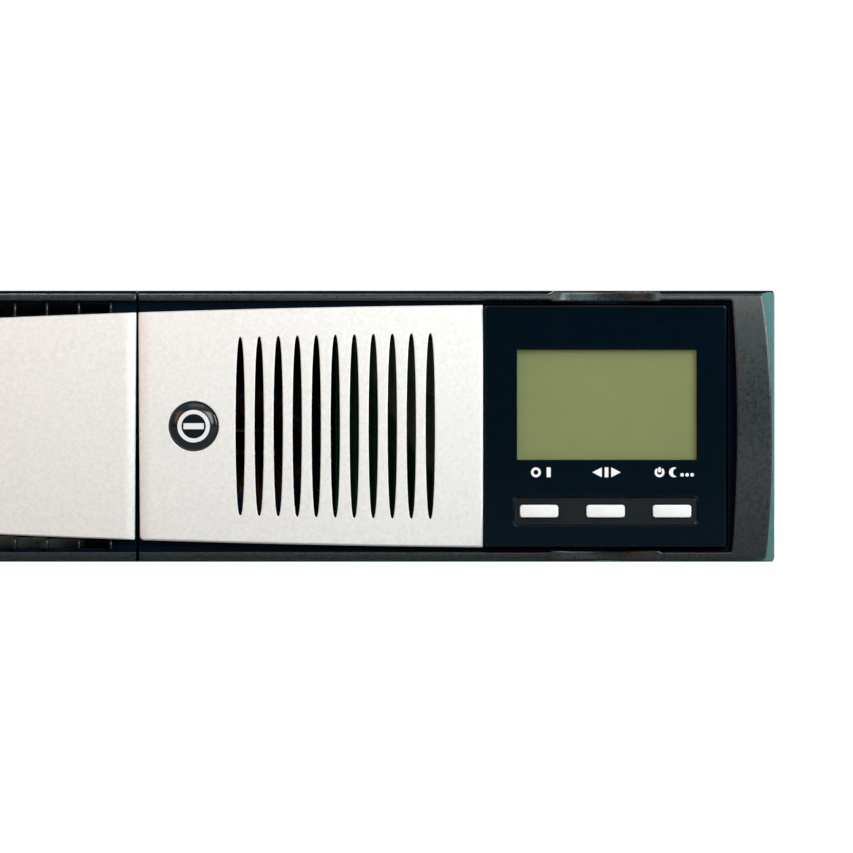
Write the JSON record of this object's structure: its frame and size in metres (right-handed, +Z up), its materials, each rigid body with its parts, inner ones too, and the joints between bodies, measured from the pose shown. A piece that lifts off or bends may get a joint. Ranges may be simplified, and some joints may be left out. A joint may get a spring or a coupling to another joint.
{
  "type": "uninterruptible power supply",
  "caption": "Low rack or tower uninterruptible power supply with vented silver front panels, a pull-out display module, a push button and a sliding battery tray.",
  "frame": {"origin": "middle of the footprint, on the surface that the case rests on", "axes": "+X to the right when facing the front panel, +Y from the front to the rear, +Z up"},
  "size_m": [0.44, 0.425, 0.087],
  "materials": {
    "case_paint": "satin powder coat, dark grey",
    "zinc_plate": "zinc-plated steel",
    "graphite_plastic": "moulded plastic with a fine metallic grain",
    "silver_paint": "fine-grained metallic silver paint on plastic",
    "gloss_black": "glossy black",
    "matte_black": "matt black",
    "key_white": "satin white",
    "clear_window": "clear window over the display",
    "lcd_green": "unlit olive-green liquid-crystal panel",
    "board_green": "solder mask",
    "terminal_green": "green terminal block",
    "aluminium": "extruded",
    "copper_winding": "enamelled winding",
    "sleeve_blue": "printed sleeve, left plain",
    "battery_grey": "moulded battery box",
    "wire_red": "insulated wire"
  },
  "bodies": {
    "chassis": {"chassis_base": "case_paint", "top_cover": "case_paint", "front_plate": "case_paint", "rear_panel": "case_paint", "bay_walls": "zinc_plate", "right_bezel": "graphite_plastic", "vent_panel": "silver_paint", "power_switch": "matte_black", "display_socket": "matte_black", "battery_socket": "matte_black", "main_board": "board_green", "control_board": "board_green", "heatsink_left": "aluminium", "heatsink_right": "aluminium", "boost_inductor": "copper_winding", "output_inductor": "copper_winding", "bus_capacitor_1": "sleeve_blue", "bus_capacitor_2": "sleeve_blue", "fan_frame": "matte_black", "fan_guard": "zinc_plate", "fan_screw_low_left": "zinc_plate", "fan_screw_high_left": "zinc_plate", "fan_screw_low_right": "zinc_plate", "fan_screw_high_right": "zinc_plate", "cover_screw_left_front": "zinc_plate", "cover_screw_left_rear": "zinc_plate", "cover_screw_right_front": "zinc_plate", "cover_screw_right_rear": "zinc_plate", "outlet_bank_lower": "matte_black", "outlet_bank_upper": "matte_black", "inlet_socket": "matte_black", "breaker_body": "matte_black", "slot_cover": "case_paint", "usb_port": "zinc_plate", "serial_port": "zinc_plate", "stop_terminal": "terminal_green", "ground_screw": "zinc_plate"},
    "power_button": {"power_button": "gloss_black", "power_button_spring": "zinc_plate"},
    "display": {"display_faceplate": "gloss_black", "display_housing": "gloss_black", "lcd_lens": "clear_window", "lcd_panel": "lcd_green", "display_board": "board_green"},
    "key_on": {"key_on": "key_white"},
    "key_select": {"key_select": "key_white"},
    "key_standby": {"key_standby": "key_white"},
    "battery_cover": {"battery_cover": "graphite_plastic", "plain_panel": "silver_paint"},
    "battery_pack": {"battery_tray": "zinc_plate", "battery_left_front": "battery_grey", "battery_left_rear": "battery_grey", "battery_right_front": "battery_grey", "battery_right_rear": "battery_grey", "battery_link_left": "wire_red", "battery_link_right": "wire_red", "battery_fuse": "wire_red", "battery_harness": "matte_black"},
    "fan_rotor": {"fan_rotor": "matte_black"},
    "breaker_button": {"breaker_button": "matte_black"}
  },
  "joints": [
    {"name": "power_button_press", "type": "slide", "parent": "chassis", "child": "power_button", "axis": [0, 1, 0], "range_m": [0, 0.0015], "stiffness_N_per_m": 1200, "springref_m": -0.0005, "deforming": ["power_button_spring"]},
    {"name": "display_pull", "type": "slide", "parent": "chassis", "child": "display", "axis": [0, -1, 0], "range_m": [0, 0.04]},
    {"name": "key_on_press", "type": "slide", "parent": "display", "child": "key_on", "axis": [0, 1, 0], "range_m": [0, 0.0006], "stiffness_N_per_m": 2600, "springref_m": -0.0003},
    {"name": "key_select_press", "type": "slide", "parent": "display", "child": "key_select", "axis": [0, 1, 0], "range_m": [0, 0.0006], "stiffness_N_per_m": 2600, "springref_m": -0.0003},
    {"name": "key_standby_press", "type": "slide", "parent": "display", "child": "key_standby", "axis": [0, 1, 0], "range_m": [0, 0.0006], "stiffness_N_per_m": 2600, "springref_m": -0.0003},
    {"name": "battery_pack_slide", "type": "slide", "parent": "chassis", "child": "battery_pack", "axis": [0, -1, 0], "range_m": [0, 0.3]},
    {"name": "battery_cover_pull", "type": "slide", "parent": "chassis", "child": "battery_cover", "axis": [0, -1, 0], "range_m": [0, 0.36]},
    {"name": "fan_spin", "type": "hinge", "parent": "chassis", "child": "fan_rotor", "pos_m": [0.1733, 0.19, 0.0435], "axis": [0, 1, 0], "continuous": true},
    {"name": "breaker_reset", "type": "slide", "parent": "chassis", "child": "breaker_button", "axis": [0, 1, 0], "range_m": [0, 0.003]}
  ],
  "couplings": [
    {"joint": "battery_cover_pull", "follows": "battery_pack_slide", "ratio": 1.2}
  ]
}
